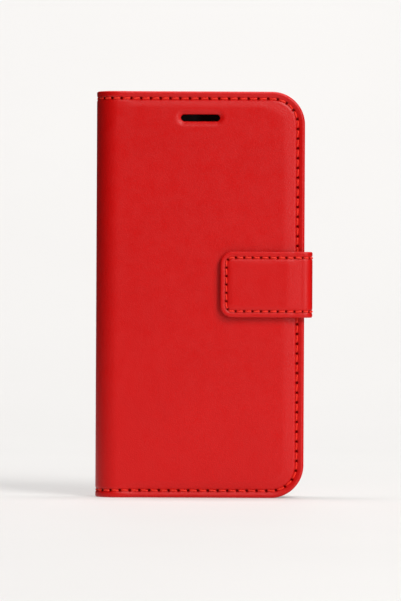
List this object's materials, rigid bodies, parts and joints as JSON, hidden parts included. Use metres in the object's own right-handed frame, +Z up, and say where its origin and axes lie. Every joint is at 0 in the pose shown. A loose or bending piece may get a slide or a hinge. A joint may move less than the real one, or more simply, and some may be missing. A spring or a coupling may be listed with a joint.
{
  "type": "phone wallet case",
  "caption": "Upright book-style phone wallet case in red leather: padded stitched covers, rounded spine, phone tray, card pockets and a magnetic closing strap.",
  "frame": {"origin": "centre of the bounding box's bottom face, on the surface that the closed case stands on", "axes": "+Z up along the covers' length, -Y out of the front cover, +X towards the closing strap; the spine is at -X"},
  "size_m": [0.0802, 0.02, 0.15],
  "materials": {
    "outer_leather": "fine-grained red synthetic leather with a soft semi-gloss",
    "lining": "thin matt red lining leather",
    "pocket_leather": "thin smooth red pocket leather",
    "thread": "bright red waxed polyester thread",
    "padding": "thin closed padding",
    "stiffener": "grey fibreboard",
    "tray": "flexible black moulded polymer, satin",
    "adhesive": "double-sided sheet adhesive",
    "magnet": "nickel-coloured magnet disc",
    "catch": "thin steel disc"
  },
  "bodies": {
    "back_cover": {"back_skin": "outer_leather", "back_foam": "padding", "back_board": "stiffener", "back_lining": "lining", "back_stitches": "thread", "strap_anchor": "outer_leather", "tray_adhesive": "adhesive", "tray_floor": "tray", "tray_wall_left": "tray", "tray_wall_right": "tray", "tray_wall_foot": "tray", "tray_wall_head": "tray"},
    "spine": {"spine_skin": "outer_leather", "spine_lining": "lining", "spine_stitches": "thread"},
    "front_cover": {"front_skin": "outer_leather", "front_foam": "padding", "front_board": "stiffener", "front_lining": "lining", "front_stitches": "thread", "catch_plate": "catch", "money_pocket": "pocket_leather", "card_pocket_1": "pocket_leather", "card_pocket_2": "pocket_leather", "card_pocket_3": "pocket_leather", "pocket_stitches": "thread"},
    "strap_side": {"strap_side_skin": "outer_leather", "strap_side_lining": "lining", "strap_side_stitches": "thread"},
    "strap_tab": {"strap_tab_skin": "outer_leather", "strap_tab_board": "stiffener", "strap_tab_lining": "lining", "strap_magnet": "magnet", "strap_tab_stitches": "thread"}
  },
  "joints": [
    {"name": "spine_hinge", "type": "hinge", "parent": "back_cover", "child": "spine", "pos_m": [-0.03778, 0.00779, 0.075], "axis": [0, 0, -1], "range_deg": [0, 180]},
    {"name": "cover_hinge", "type": "hinge", "parent": "spine", "child": "front_cover", "pos_m": [-0.03778, -0.00509, 0.075], "axis": [0, 0, -1], "range_deg": [0, 180]},
    {"name": "strap_side_hinge", "type": "hinge", "parent": "back_cover", "child": "strap_side", "pos_m": [0.03942, 0.00883, 0.07875], "axis": [0, 0, 1], "range_deg": [0, 180]},
    {"name": "strap_tab_hinge", "type": "hinge", "parent": "strap_side", "child": "strap_tab", "pos_m": [0.03896, -0.00897, 0.07875], "axis": [0, 0, 1], "range_deg": [0, 110]}
  ]
}
